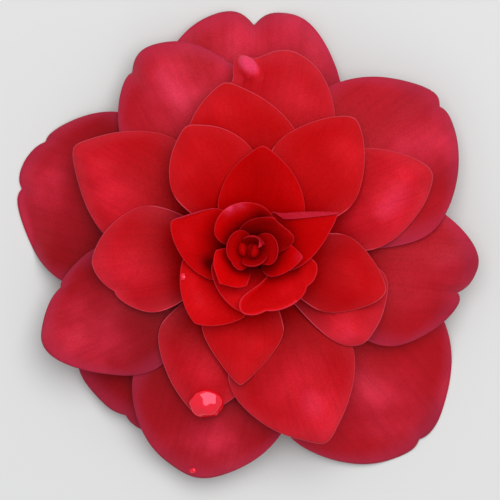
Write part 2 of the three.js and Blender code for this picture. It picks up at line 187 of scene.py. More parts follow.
# %% Middle petals
WHORLS["middle_petal"] = dict(
    seat=12, level_step=0.95, claw=2.6, rise=46, droop=-20, blunt=1.7, cup=-0.3, crest=0.6,
    wave=0.1, blush_and_highlight=0.2,
    petals=[
        dict(azimuth=98, reach=34, left=11.7, right=13.3, tip=15.9, level=0, rise=43,
             lean=0.7, notches=[(0, -0.5, 0.2)], folds=[(-0.05, 1.2, 0.08, 0.4)],
             swells=[(26.7, 3.6, 0.5, 3)]),
        dict(azimuth=52, reach=34, left=10, right=11, tip=16.6, level=1.5, blunt=1.6,
             folds=[(-0.05, 2, 0.12, 0.4)], swells=[(26, -3, 0.6, 3.5), (23, -7, 0.4, 3)],
             painted_highlights=[(16.3, 0.4, 0.2, 4)], root_shade_zone=(0.1, 0.6)),
        dict(azimuth=117, reach=27.9, left=9.5, right=9.8, tip=18.8, level=2.2, blunt=1.9,
             notches=[(0.05, -0.5, 0.2)], folds=[(0.1, 1, 0.15, 0.4)],
             swells=[(21.6, 1.1, 0.15, 3.5), (18, 5.5, 0.3, 3)], root_shade_zone=(0, 0.5)),
        dict(azimuth=265, reach=27.5, left=8.5, right=9.6, tip=16, level=0, blunt=1.3,
             folds=[(0, 2.5, 0.1, 0.4)], swells=[(21.8, -1, 0.6, 2.5), (17.3, 3, 0.7, 2.5)],
             painted_highlights=[(20, -0.4, 0.4, 3), (15.9, -3.7, 0.5, 3)], root_shade_zone=(0.1, 0.6)),
        dict(azimuth=343, reach=28.7, left=9, right=8.2, tip=17.5, level=2, blunt=1.6,
             folds=[(-0.3, 3, 0.15, 0.4)], swells=[(20.8, 0.4, 0.6, 3.5)],
             root_shade_zone=(0.4, 1)),
    ],
)
print("middle petals:", len(WHORLS["middle_petal"]["petals"]))

# %% Inner petals
WHORLS["inner_petal"] = dict(
    seat=14.6, level_step=0.8, claw=2.4, rise=52, droop=-6, broadest=0.55, round=True,
    blush_and_highlight=0.1, blunt=2, root_shade_zone=(0.05, 0.6),
    petals=[
        dict(azimuth=84, reach=20.8, left=8.8, right=12, tip=21.8, level=0.2, blunt=1.5,
             notches=[(0, -0.6, 0.2)], folds=[(0, 2.5, 0.15, 0.5)], blush_and_highlight=0,
             root_shade_zone=(0, 0.35), painted_shades=[(15, 0, 0.2, 5)]),
        dict(azimuth=25, reach=19.6, left=6.8, right=10.2, tip=27.2, level=4.1, rise=60,
             blunt=1.1, broadest=0.7, shoulder=0.6, folds=[(-0.3, 1.5, 0.1, 0.5)],
             curls=[((15.7, 1), 65, 0.4, 160, 8)]),
        dict(azimuth=161, reach=17.5, left=10, right=6.2, tip=23.3, level=1.2, blunt=1.4,
             folds=[(0.1, 2, 0.15, 0.4)], swells=[(11.8, 3.1, 0.5, 2.5)],
             curls=[((13, -2.9), -51, 0.35, 120, 8)], painted_shades=[(8, 6, 1, 2)]),
        dict(azimuth=232, reach=19, left=7.5, right=11.5, tip=20.8, level=0, blunt=1.25,
             shoulder=0.3, swells=[(12.5, -4.4, 0.6, 3), (14, 0.6, 0.4, 2)],
             painted_highlights=[(13, -2, 0.6, 4)], painted_shades=[(7.1, -4.1, 1, 1.8)]),
        dict(azimuth=259, reach=12.8, left=5, right=9, tip=22.9, level=2.1, blunt=1.2,
             shoulder=0.35, root_shade_zone=(0, 0.2), painted_highlights=[(7, 0, 1.1, 5)]),
        dict(azimuth=311, reach=14.5, left=8.8, right=11.5, tip=24.7, level=3, rise=56,
             blunt=3.5, shoulder=0.12, right_spread=(0.38, 0.9), lips=(0.2, 1.1),
             notches=[(-0.55, 1.7, 0.42), (0.42, 0.9, 0.18)],
             swells=[(10.5, -0.5, 0.5, 2.5), (12.8, 3.4, 0.4, 2)],
             painted_shades=[(8.8, 4.5, 1, 1.7)]),
    ],
)
print("inner petals:", len(WHORLS["inner_petal"]["petals"]))

# %% Collar petals
WHORLS["collar_petal"] = dict(
    seat=18.2, level_step=0.6, claw=2, rise=66, droop=42, broadest=0.6, shoulder=0.35,
    round=True, blush_and_highlight=0.05, reflex=0,
    petals=[
        dict(azimuth=115, reach=9.9, left=6.2, right=8, tip=28, level=0, blunt=2.2,
             broadest=0.8, shoulder=0.25, blush_and_highlight=0, curls=[((11.9, 0), 5, -0.6, 80, 9)],
             painted_highlights=[(11.9, 0.6, 1.8, 1.3), (11.6, -1.8, 1.4, 1.1)], root_shade_zone=(0.2, 0.9),
             painted_shades=[(9, -5.5, 0.9, 2.5)]),
        dict(azimuth=352, reach=10.4, left=3, right=5.5, tip=28.6, level=1, blunt=1.2,
             shoulder=0.4, blush_and_highlight=0, painted_highlights=[(12.5, 0, 0.8, 1.4)]),
        dict(azimuth=226, reach=9.1, left=4.2, right=5.4, tip=28, level=1, blunt=1.05,
             broadest=0.8, shoulder=0.3, blush_and_highlight=0, folds=[(0, 2, 0.08, 0.5)],
             notches=[(0, -0.5, 0.25)]),
        dict(azimuth=22, reach=8.2, left=8.5, right=2.6, tip=28.8, level=2.5, rise=75,
             blunt=1.6, shoulder=0.4, notches=[(0.58, -1, 0.13), (0.2, 0.5, 0.25)],
             blush_and_highlight=0, root_shade_zone=(0.75, 1.15), folds=[(0.58, 1.5, 0.08, 0.6)]),
    ],
)
print("collar petals:", len(WHORLS["collar_petal"]["petals"]))

# %% [markdown]
# ## One rule for every petal
# A petal starts as a flat grid. One direction of the grid runs across the blade, from -1 to 1,
# and the other from root to margin. The grid is first drawn out to the petal's outline, still
# flat, and pulled out of shape where a margin is folded up. Where a margin curls, the sheet is
# rolled up along a line, as paper is round a pencil. Then the sheet is laid over the midrib, a
# cubic curve, and cupped, folded and rippled. A petal near the heart is also bent round the
# flower's axis.

# %% Small curves
def smoothstep(value, low, high):
    share = min(1, max(0, (value - low) / (high - low)))
    return share * share * (3 - 2 * share)


def bell(distance, half_width):
    return math.exp(-((distance / half_width) ** 2))


def step_up(slope, length):
    angle = math.radians(slope)
    return Vector((length * math.cos(angle), length * math.sin(angle)))


print("a bell, one half width out:", round(bell(1, 1), 2))

# %% Receptacle's outline
RECEPTACLE = [  # radius and height
    (2.6, 0), (3.2, 1.2), (4.6, 2.4), (4.8, 7.5), (3.9, 12), (2.9, 16), (1.6, 19.6), (0.9, 20.2),
]


def receptacle_radius(height):
    for (low_radius, low), (high_radius, high) in zip(RECEPTACLE, RECEPTACLE[1:]):
        if high >= height:
            return low_radius + (high_radius - low_radius) * (height - low) / (high - low)


print("receptacle, 10 mm up:", round(receptacle_radius(10), 1), "mm in radius")

# %% From the table to a petal
SEAT_GAP = 0.3
CAD_THICKNESS = 0.6
MIDRIB_HANDLE = 0.36
MIDRIB_STEPS = 40


def petal_of(whorl, own):
    petal = {**EVERY_PETAL, **whorl, **own}
    petal["root_height"] = petal["seat"] + petal["level"] * petal["level_step"]
    if petal["root_radius"] is None:
        half_blade = CAD_THICKNESS / 2 * math.sin(math.radians(petal["rise"]))
        petal["root_radius"] = receptacle_radius(petal["root_height"]) + SEAT_GAP + half_blade
    root = Vector((petal["root_radius"], petal["root_height"]))
    tip = Vector((petal["reach"], petal["tip"]))
    handle = (tip - root).length * MIDRIB_HANDLE
    leaving = root + step_up(petal["rise"], handle)
    arriving = tip - step_up(petal["droop"], handle)
    petal["midrib"] = (root, leaving, arriving, tip)
    points = [midrib_at(petal, step / MIDRIB_STEPS)[0] for step in range(MIDRIB_STEPS + 1)]
    petal["length"] = sum((after - before).length for before, after in zip(points, points[1:]))
    return petal


def midrib_at(petal, share):
    # The midrib's point at a share of it, and its slope there. Past the ends it runs straight.
    a, b, c, d = petal["midrib"]
    t = min(1, max(0, share))
    s = 1 - t
    point = a * s**3 + b * (3 * s * s * t) + c * (3 * s * t * t) + d * t**3
    slope = (b - a) * (3 * s * s) + (c - b) * (6 * s * t) + (d - c) * (3 * t * t)
    return point + slope * (share - t), slope.normalized()


for whorl_name, whorl in WHORLS.items():
    lengths = [petal_of(whorl, own)["length"] for own in whorl["petals"]]
    print(whorl_name, "is up to", round(max(lengths), 1), "mm long")

# %% Outline of the flat sheet
LEAN_START = 0.6
CLAW_MARGIN = 20  # the claw's sides count as this much further from the margin
CLAW_END = 0.3


def margin_at(petal, across):
    round_end = (1 - abs(across) ** petal["blunt"]) ** (1 / petal["blunt"])
    margin = 1 - petal["shoulder"] * (1 - round_end)
    for place, depth, half_width in petal["notches"]:
        away = across - place
        shape = math.exp(-abs(away) / half_width) if depth > 0 else bell(away, half_width)
        margin -= depth / petal["reach"] * shape
    return margin


def outline_point(petal, u, across):
    along = u * margin_at(petal, across)
    side = petal["left"] if across > 0 else petal["right"]
    start, broadest = 0, petal["broadest"]
    if petal["right_spread"] and across < 0:
        start, broadest = petal["right_spread"]
    spread = math.sin(math.pi / 2 * min(1, max(0, (along - start) / (broadest - start))))
    half_width = petal["claw"] / 2 * (1 - spread) + side * spread
    sideways = across * half_width + petal["lean"] * smoothstep(along, LEAN_START, 1)
    for (out, side), (pull_out, pull_side), radius in petal["pulls"]:
        pull = bell(math.hypot(along * petal["length"] - out, sideways - side), radius)
        along += pull_out * pull / petal["length"]
        sideways += pull_side * pull
    return along, sideways


def margin_distance(petal, u, across):
    # Millimetres to the margin. The claw's sides don't count.
    along = outline_point(petal, u, across)[0]
    to_tip = (1 - u) * petal["length"] * margin_at(petal, across)
    to_side = (1 - abs(across)) * (petal["left"] if across > 0 else petal["right"])
    return min(to_tip, to_side + CLAW_MARGIN * (1 - smoothstep(along, 0, CLAW_END)))


first_petal = petal_of(WHORLS["guard_petal"], WHORLS["guard_petal"]["petals"][0])
print("first petal's notch is at", round(outline_point(first_petal, 1, 0)[0], 2), "of its length")

# %% Knobs and lips
KNOB_STEEPNESS = 3
LIP_WIDTH = 0.8


def knob_at(petal, along, sideways):
    # A margin that has folded up into a loaf with steep sides, as a share of its height.
    (out, side), (long_radius, short_radius), turn = petal["knob"]["place"]
    away = Vector((along * petal["length"] - out, sideways - side))
    lengthwise = away.dot(step_up(turn, 1)) / long_radius
    crosswise = away.dot(step_up(turn + 90, 1)) / short_radius
    return math.exp(-((lengthwise**2 + crosswise**2) ** KNOB_STEEPNESS))


def lip_at(petal, across, distance):
    # How much of a lip there is: a narrow margin that rolls up, with a painted highlight along
    # it.
    left, right = petal["lips"]
    return (left if across > 0 else right) * bell(distance, LIP_WIDTH)


knobbed = [own for whorl in WHORLS.values() for own in whorl["petals"] if "knob" in own]
print("petals with a knob:", len(knobbed))

# %% Relief of the sheet
CUP_START = 0.1
CUP_FULL = 0.7
CREST_HALF_WIDTH = 0.3
CREST_ONSET = 2.5
WAVE_ONSET = 3
FOLD_STRENGTH = 1.4
CREASE_SPREAD = 1.3
CREASE_DEPTH = 0.35
CREASE_START = 0.7
LIP_HEIGHT = 0.6
REFLEX_WIDTH = 1.2


def height_on_blade(petal, u, across):
    # How far the sheet stands above its midrib: folds, creases, swells and the turned-down rim.
    along, sideways = outline_point(petal, u, across)
    height = petal["cup"] * across**2 * smoothstep(along, CUP_START, CUP_FULL)
    height += petal["crest"] * bell(across, CREST_HALF_WIDTH) * along**CREST_ONSET
    height += petal["wave"] * math.sin(math.pi * petal["waves"] * across) * along**WAVE_ONSET
    for place, drop, roundness, start in petal["folds"]:
        slant = math.hypot(across - place, roundness) - roundness
        height -= FOLD_STRENGTH * drop * slant * smoothstep(along, start, 1)
    for place, depth, half_width in petal["notches"]:
        crease = bell(across - place, CREASE_SPREAD * half_width)
        height -= CREASE_DEPTH * depth * crease * smoothstep(along, CREASE_START, 1)
    for out, side, rise, radius in petal["swells"]:
        place = Vector((along * petal["length"] - out, sideways - side))
        height += rise * bell(place.length, radius)
    if petal["knob"]:
        height += petal["knob"]["rise"] * knob_at(petal, along, sideways)
    distance = margin_distance(petal, u, across)
    height += LIP_HEIGHT * lip_at(petal, across, distance)
    return height - petal["reflex"] * bell(distance, REFLEX_WIDTH)


print("first petal's tip stands off its midrib by", round(height_on_blade(first_petal, 1, 0), 2))

# %% From the flat sheet to the blade
CURL_ONSET = 3


def rolled(petal, along, sideways):
    # Rolls the flat sheet up past each of the petal's curl lines, and returns the height gained.
    # Each line passes through start, on the flat sheet, and the sheet rolls in one direction.
    place = Vector((along * petal["length"], sideways))
    lift = 0
    for start, direction, radius, most, onset in petal["curls"]:
        outward = step_up(direction, 1)
        past = (place - Vector(start)).dot(outward)
        past *= smoothstep(along * petal["length"], onset, onset + CURL_ONSET)
        if past > 0:
            turn = min(past / abs(radius), math.radians(most))
            flat = past - turn * abs(radius)
            place += outward * (abs(radius) * math.sin(turn) + flat * math.cos(turn) - past)
            lift += radius * (1 - math.cos(turn)) + math.copysign(flat, radius) * math.sin(turn)
    return place.x / petal["length"], place.y, lift


def blade_point(petal, u, across):
    raised = height_on_blade(petal, u, across)
    along, sideways, lift = rolled(petal, *outline_point(petal, u, across))
    rib, slope = midrib_at(petal, along)
    raised += lift
    outwards = rib.x - raised * slope.y
    if petal["round"]:
        turn = sideways / rib.x
        sideways = outwards * math.sin(turn)
        outwards *= math.cos(turn)
    return Vector((outwards, sideways, rib.y + raised * slope.x))


print("first petal reaches", round(blade_point(first_petal, 1, 0).x, 1), "mm from the axis")

# %% [markdown]
# ## Making a petal
# The grid operator gives a flat sheet with a UV map. Each of its points is moved onto the blade.
# Two kinds of seeded noise follow. A broad swell is the same for all petals at one place, so
# petals that lie on each other swell together, as they do from pressing on each other in the
# bud. A fine ripple is each petal's own. A Solidify modifier then gives the sheet its thickness,
# thinner at the margin, through a vertex group. Three values are kept with every point for the
# finish: how far it is from the margin, how much blush and painted highlight it takes, and how
# much painted shade it takes, towards the root and in soft shade spots.

# %% Swells and ripples
SWELL_HEIGHT = 0.8
SWELL_SIZE = 13
SWELL_LAYER = 3  # which slice of the noise
SWELL_FROM = 10
SWELL_FULL = 40
RIPPLES = [(1, (3, 2.2), 0), (0.5, (6, 7), 5)]  # share, counts along and across, slice
SEED_STEPS = (7.31, 3.17, 1.73)  # how far apart in the noise two petals are


def shared_swell(point):
    outwards = math.hypot(point.x, point.y)
    wave = noise.noise(Vector((point.x, point.y, SWELL_LAYER)) / SWELL_SIZE)
    return SWELL_HEIGHT * wave * smoothstep(outwards, SWELL_FROM, SWELL_FULL)


def ripple_at(along, across, own_noise):
    return sum(
        share * noise.noise(Vector((along * long, across * wide, layer)) + own_noise)
        for share, (long, wide), layer in RIPPLES
    )


print("shared swell, 40 mm to the right:", round(shared_swell(Vector((40, 0, 0))), 2), "mm")

# %% Blush and spots
SWELL_HIGHLIGHT = 0.9
SWELL_HIGHLIGHT_SPREAD = 1.3
BLUSH_ZONE = (0.35, 1)


def spots_at(petal, spots, along, sideways):
    # How strong a set of soft round spots is: each is (out, side, share, radius).
    out = along * petal["length"]
    return sum(
        share * bell(math.hypot(out - place_out, sideways - place_side), radius)
        for place_out, place_side, share, radius in spots
    )


def blush_and_highlight_at(petal, along, sideways):
    # Blush grows towards the tip, and a highlight is painted on each swell and each soft spot.
    swell_highlights = [
        (out, side, SWELL_HIGHLIGHT * rise, SWELL_HIGHLIGHT_SPREAD * radius)
        for out, side, rise, radius in petal["swells"]
    ]
    blush_and_highlight = petal["blush_and_highlight"] * smoothstep(along, *BLUSH_ZONE)
    return blush_and_highlight + spots_at(petal, swell_highlights + petal["painted_highlights"], along, sideways)


print("first petal's blush on its swell:", round(blush_and_highlight_at(first_petal, 0.8, 5), 2))

# %% Petal mesh
ACROSS_FACES = 76
ALONG_FACES = 56
NOTCH_DRAW = 0.65
NOTCH_REACH = 3.5
WIDE_NOTCH = 0.11
FLOOR_GAP = 0.05


def column_at(petal, x):
    # The grid's columns crowd together at the sides and at every narrow notch.
    across = math.sin(math.pi / 2 * x)
    for place, depth, half_width in petal["notches"]:
        if half_width < WIDE_NOTCH:
            away = across - place
            draw = NOTCH_DRAW * bell(away, NOTCH_REACH * half_width)
            across -= draw * away * (1 - across**2)
    return across


def petal_mesh(name, petal, seed):
    sheet = bmesh.new()
    sheet.loops.layers.uv.new("UVMap")
    bmesh.ops.create_grid(
        sheet, x_segments=ACROSS_FACES, y_segments=ALONG_FACES, size=1, calc_uvs=True
    )
    # This layer carries the blush and the painted highlights: on swells, in soft spots, on lips
    # and on knobs.
    edge = sheet.verts.layers.float.new("edge")
    blush_and_highlight = sheet.verts.layers.float.new("blush_and_highlight")
    depth = sheet.verts.layers.float.new("depth")
    own_noise = Vector([seed * step for step in SEED_STEPS])
    turned = Matrix.Rotation(math.radians(petal["azimuth"]), 3, "Z")
    for vert in sheet.verts:
        across = column_at(petal, vert.co.x)
        u = (vert.co.y + 1) / 2
        along, sideways = outline_point(petal, u, across)
        vert[edge] = margin_distance(petal, u, across)
        vert[blush_and_highlight] = blush_and_highlight_at(petal, along, sideways) + lip_at(petal, across, vert[edge])
        # A knob's face gets a painted sheen.
        if petal["knob"]:
            vert[blush_and_highlight] += petal["knob"]["blush_and_highlight"] * knob_at(petal, along, sideways)
        # Painted shade: darker towards the root, and in the soft shade spots.
        vert[depth] = 1 - smoothstep(along, *petal["root_shade_zone"])
        vert[depth] += spots_at(petal, petal["painted_shades"], along, sideways)
        point = turned @ blade_point(petal, u, across)
        ripple = petal["ripple"] * ripple_at(along, across, own_noise) * along**2
        point.z += ripple + shared_swell(point)
        point.z = max(point.z, petal["thickness"] / 2 + FLOOR_GAP)
        vert.co = point * MM
    bmesh.ops.reverse_faces(sheet, faces=sheet.faces)
    mesh = bpy.data.meshes.new(name)
    sheet.to_mesh(mesh)
    sheet.free()
    return mesh


print("faces to a petal's sheet:", ACROSS_FACES * ALONG_FACES)

# %% From a sheet to a petal
MARGIN_SHARE = 0.4  # thickness at the margin, as a share of the full one
MARGIN_WIDTH = 3


def put_in_scene(name, mesh, node, materials):
    mesh.shade_smooth()
    for material in materials:
        mesh.materials.append(material)
    piece = bpy.data.objects.new(name, mesh)
    scene.collection.objects.link(piece)
    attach(piece, "root")
    if node:
        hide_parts(node)
    return piece


def thicken(piece, thickness):
    thick = piece.vertex_groups.new(name="thick")
    for vert, distance in zip(piece.data.vertices, piece.data.attributes["edge"].data):
        thick.add([vert.index], smoothstep(distance.value, 0, MARGIN_WIDTH), "REPLACE")
    solidify = piece.modifiers.new("thickness", "SOLIDIFY")
    solidify.thickness = thickness * MM
    solidify.offset = 0
    solidify.vertex_group = "thick"
    solidify.thickness_vertex_group = MARGIN_SHARE
    solidify.material_offset = 1
    solidify.material_offset_rim = 1


def make_petal(name, node, petal, seed, materials):
    piece = put_in_scene(name, petal_mesh(name, petal, seed), node, materials)
    thicken(piece, petal["thickness"])


print("a petal thins to", round(MARGIN_SHARE * EVERY_PETAL["thickness"], 2), "mm at its margin")

# %% [markdown]
# ## Petal tissue
# A camellia's petal is velvety: its skin is made of tiny domed cells, which catch light at a
# glancing angle. Its colour is a deep red, rose towards the tip, and shade and highlights are
# painted into it: painted shade darkens it towards the root and in soft spots, and painted
# highlights make it rose or even pink on swells, lips, knobs and soft spots. Faint veins fan out
# from the root, and the margin is paler where it thins to nothing, with a painted highlight on
# its rim and a wider painted reflection beside it. The underside is paler and pinker. We could
# paint each petal, but the same tissue grows all over the flower, so one node group holds it, and
# each material places it with its own colours.

# %% Node helpers
def colour(red, green, blue):
    return (red, green, blue, 1)


def set_inputs(node, values):
    for name, value in values.items():
        node.inputs[name].default_value = value


def feed(tree, socket, value):
    # Links a socket's output in, or sets a plain value.
    if isinstance(value, bpy.types.NodeSocket):
        tree.links.new(value, socket)
    else:
        socket.default_value = value


def new_material(name):
    material = bpy.data.materials.new(name)
    material.use_nodes = True
    return material, material.node_tree.nodes["Principled BSDF"]


print("plain white:", colour(1, 1, 1))

# %% Mixing and measuring nodes
MIX_INPUTS = (0, 6, 7)  # a colour mix's factor and its two colours
MIX_RESULT = 2


def mix_colours(tree, factor, first, second, blend="MIX"):
    node = tree.nodes.new("ShaderNodeMix")
    node.data_type = "RGBA"
    node.blend_type = blend
    for index, value in zip(MIX_INPUTS, (factor, first, second)):
        feed(tree, node.inputs[index], value)
    return node.outputs[MIX_RESULT]


def ranged(tree, value, low, high, to_low=0, to_high=1):
    node = tree.nodes.new("ShaderNodeMapRange")
    node.interpolation_type = "SMOOTHSTEP"
    limits = {"From Min": low, "From Max": high, "To Min": to_low, "To Max": to_high}
    set_inputs(node, limits)
    feed(tree, node.inputs["Value"], value)
    return node.outputs["Result"]


def calculated(tree, operation, first, second):
    node = tree.nodes.new("ShaderNodeMath")
    node.operation = operation
    feed(tree, node.inputs[0], first)
    feed(tree, node.inputs[1], second)
    return node.outputs[0]


def noise_texture(tree, vector, scale, roughness=0.5):
    node = tree.nodes.new("ShaderNodeTexNoise")
    set_inputs(node, {"Scale": scale, "Detail": 2, "Roughness": roughness})
    feed(tree, node.inputs["Vector"], vector)
    return node.outputs["Fac"]


def attribute(tree, name):
    node = tree.nodes.new("ShaderNodeAttribute")
    node.attribute_name = name
    return node.outputs["Fac"]


print("a noise scale of 1000 gives grains of", round(1 / 1000 / MM), "mm")

# %% Tissue group
COLOUR_INPUTS = ("Root", "Deep", "Rose", "Pale")
SHARE_INPUTS = ("Vein", "Mottle", "Rim", "Band")
# The pink of the strongest painted highlights, where blush and highlight together pass full
# strength.
HIGHLIGHT_PINK = colour(0.85, 0.05, 0.13)  # the strongest blush
HIGHLIGHT_PINK_FROM = (1, 2)
DARK = colour(0.6, 0.3, 0.4)  # what a vein or a mottle multiplies the colour by
BAND_WIDTH = 5
RIM_WIDTH = 0.35
VEIN_FAN = (46, 2.5, 1)
VEIN_LIMITS = (0.4, 0.7)
PATCH_SCALE = 110
PATCH_LIMITS = (0.25, 0.75, 0.45, 1.3)
GRAIN_SCALE = 2600
GRAIN_ROUGHNESS = 0.7
GRAIN_LIMITS = (0.35, 0.65)
GRAIN_HEIGHT = 0.25
SKIN_ROUGHNESS = (0.3, 0.7, 0.42, 0.58)


def add_sockets(tree, way, kind, names):
    for name in names:
        tree.interface.new_socket(name=name, in_out=way, socket_type=f"NodeSocket{kind}")


def tissue_group():
    tree = bpy.data.node_groups.new("petal tissue", "ShaderNodeTree")
    add_sockets(tree, "INPUT", "Color", COLOUR_INPUTS)
    add_sockets(tree, "INPUT", "Float", SHARE_INPUTS)
    add_sockets(tree, "OUTPUT", "Color", ["Color"])
    add_sockets(tree, "OUTPUT", "Float", ["Roughness", "Height"])
    given = tree.nodes.new("NodeGroupInput").outputs
    result = tree.nodes.new("NodeGroupOutput").inputs
    coords = tree.nodes.new("ShaderNodeTexCoord")
    fan = tree.nodes.new("ShaderNodeMapping")
    set_inputs(fan, {"Scale": VEIN_FAN})
    feed(tree, fan.inputs["Vector"], coords.outputs["UV"])
    veins = noise_texture(tree, fan.outputs["Vector"], 1)
    patches = noise_texture(tree, coords.outputs["Object"], PATCH_SCALE)
    grain = noise_texture(tree, coords.outputs["Object"], GRAIN_SCALE, GRAIN_ROUGHNESS)

    blush_and_highlight = attribute(tree, "blush_and_highlight")
    # Blush and painted highlights take the skin towards rose in random patches, and past full
    # strength towards the highlight pink.
    patchy_blush_and_highlight = calculated(tree, "MULTIPLY", blush_and_highlight, ranged(tree, patches, *PATCH_LIMITS))
    # Painted shade: on petals the depth attribute darkens towards the Root colour; on the
    # receptacle it gives the green foot.
    skin = mix_colours(tree, attribute(tree, "depth"), given["Deep"], given["Root"])
    skin = mix_colours(tree, patchy_blush_and_highlight, skin, given["Rose"])
    skin = mix_colours(tree, ranged(tree, blush_and_highlight, *HIGHLIGHT_PINK_FROM), skin, HIGHLIGHT_PINK)
    dark = mix_colours(tree, 1, skin, DARK, "MULTIPLY")
    for pattern, limits, name in ((veins, VEIN_LIMITS, "Vein"), (grain, GRAIN_LIMITS, "Mottle")):
        mask = calculated(tree, "MULTIPLY", ranged(tree, pattern, *limits), given[name])
        skin = mix_colours(tree, mask, skin, dark)
    edge = attribute(tree, "edge")
    # Along the margin: a thin rim of thinner tissue with a painted highlight, and a wider band
    # that on the petals is a painted pale reflection, lavender on the guard petals, and on the
    # sepals is their browning.
    for width, name in ((BAND_WIDTH, "Band"), (RIM_WIDTH, "Rim")):
        mask = calculated(tree, "MULTIPLY", ranged(tree, edge, 0, width, 1, 0), given[name])
        skin = mix_colours(tree, mask, skin, given["Pale"])
    feed(tree, result["Color"], skin)
    feed(tree, result["Roughness"], ranged(tree, grain, *SKIN_ROUGHNESS))
    height = calculated(tree, "MULTIPLY", grain, GRAIN_HEIGHT)
    feed(tree, result["Height"], calculated(tree, "ADD", height, veins))
    return tree


TISSUE = tissue_group()
print("tissue group:", len(TISSUE.nodes), "nodes")

# %% Tissue materials
GLOSS_TINT = colour(1, 0.5, 0.62)
SHEEN_SHARE = 0.25  # of velvet sheen to gloss
CELL_BUMP = {"Strength": 0.3, "Distance": 0.1 * MM}
FLESH = {
    "Subsurface Weight": 0.15, "Subsurface Radius": (1, 0.15, 0.12),
    "Subsurface Scale": 0.8 * MM, "Sheen Roughness": 0.45,
}


def tissue_material(name, colours, amounts, gloss, tint=GLOSS_TINT):
    material, shader = new_material(name)
    tree = material.node_tree
    tissue = tree.nodes.new("ShaderNodeGroup")
    tissue.node_tree = TISSUE
    for socket, value in zip(tissue.inputs, (*colours, *amounts)):
        socket.default_value = value
    bump = tree.nodes.new("ShaderNodeBump")
    set_inputs(bump, CELL_BUMP)
    feed(tree, shader.inputs["Base Color"], tissue.outputs["Color"])
    feed(tree, shader.inputs["Roughness"], tissue.outputs["Roughness"])
    feed(tree, bump.inputs["Height"], tissue.outputs["Height"])
    feed(tree, shader.inputs["Normal"], bump.outputs["Normal"])
    set_inputs(shader, FLESH)
    set_inputs(shader, {"Specular IOR Level": gloss, "Specular Tint": tint})
    set_inputs(shader, {"Sheen Weight": gloss * SHEEN_SHARE, "Sheen Tint": tint})
    return material


print("flesh values:", len(FLESH))

# %% Colours and finish of the faces
# Root (a painted shade), deep red, rose and pale margin.
FACE_TINTS = dict(
    guard_petal=[colour(0.25, 0.0008, 0.002), colour(0.43, 0.002, 0.0045),
                 colour(0.68, 0.024, 0.054), colour(0.46, 0.038, 0.1)],
    outer_petal=[colour(0.36, 0.0003, 0.0008), colour(0.48, 0.001, 0.003),
                 colour(0.74, 0.014, 0.03), colour(0.8, 0.08, 0.13)],
    middle_petal=[colour(0.38, 0.0002, 0.0005), colour(0.5, 0.0006, 0.001),
                  colour(0.68, 0.009, 0.015), colour(0.8, 0.08, 0.12)],
    inner_petal=[colour(0.12, 0.0002, 0.0004), colour(0.54, 0.0004, 0.0008),
                 colour(0.7, 0.005, 0.008), colour(0.78, 0.04, 0.06)],
    collar_petal=[colour(0.28, 0.0001, 0.0003), colour(0.66, 0.0008, 0.0015),
                  colour(0.7, 0.012, 0.03), colour(0.78, 0.05, 0.08)],
    bud_petal=[colour(0.36, 0.0002, 0.0004), colour(0.55, 0.0005, 0.001),
               colour(0.65, 0.01, 0.02), colour(0.7, 0.03, 0.05)],
    bud_roll=[colour(0.2, 0.0002, 0.0004), colour(0.46, 0.0006, 0.001),
              colour(0.5, 0.004, 0.008), colour(0.5, 0.004, 0.008)],
)
# Gloss, then veins, mottling, rim and band along the margin. The paler rim is thinner tissue with
# a painted highlight, and the band is a painted reflection.
FACE_FINISH = dict(
    guard_petal=(0.16, 0.2, 0.3, 0.4, 0.35), outer_petal=(0.1, 0.2, 0.3, 0.7, 0.1),
    middle_petal=(0.05, 0.15, 0.25, 0.7, 0.05), inner_petal=(0.03, 0.15, 0.25, 0.45, 0),
    collar_petal=(0.03, 0.2, 0.25, 0.2, 0), bud_petal=(0.03, 0.2, 0.25, 0.08, 0),
    bud_roll=(0.03, 0, 0.25, 0, 0),
)
print("faces:", *FACE_TINTS)

# %% Faces and backs
faces = {}
for name, tints in FACE_TINTS.items():
    gloss, *amounts = FACE_FINISH[name]
    faces[name] = tissue_material(f"{name} face", tints, amounts, gloss)
back_rose = tissue_material(
    "petal back",
    [colour(0.4, 0.004, 0.012), colour(0.5, 0.006, 0.02), colour(0.72, 0.05, 0.13),
     colour(0.75, 0.05, 0.09)],
    [0.15, 0.15, 0.3, 0], 0.1,
)
back_red = tissue_material(
    "inner petal back",
    [colour(0.3, 0.0006, 0.0015), colour(0.42, 0.002, 0.005), colour(0.66, 0.02, 0.045),
     colour(0.7, 0.03, 0.05)],
    [0.15, 0.15, 0.15, 0], 0.05,
)
print("petal materials:", len(faces) + 2)

# %% [markdown]
# ## Petals in their whorls
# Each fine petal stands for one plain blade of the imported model, and takes its place. The face
# has the whorl's own colours. The backs of the upright collar petals are red, and all the others
# are rosy.

# %% Petals in their whorls
seed = 0
for whorl_name, whorl in WHORLS.items():
    back = back_red if whorl_name == "collar_petal" else back_rose
    for number, own in enumerate(whorl["petals"], 1):
        seed += 1
        name = f"{whorl_name}_{number}"
        petal = petal_of(whorl, own)
        make_petal(f"{name}_blade", name, petal, seed, [faces[whorl_name], back])
    print(whorl_name, len(whorl["petals"]), "made")

# %% [markdown]
# ## The heart
# Five small petals close round the middle of the bud. The third arches over it and ends in a
# small flap. A pair of rolled petals fills the middle. Only the closed outside of a roll shows,
# with a seam that winds up it, so it is made as an outline spun round an axis, flattened, and
# tucked in along the seam.

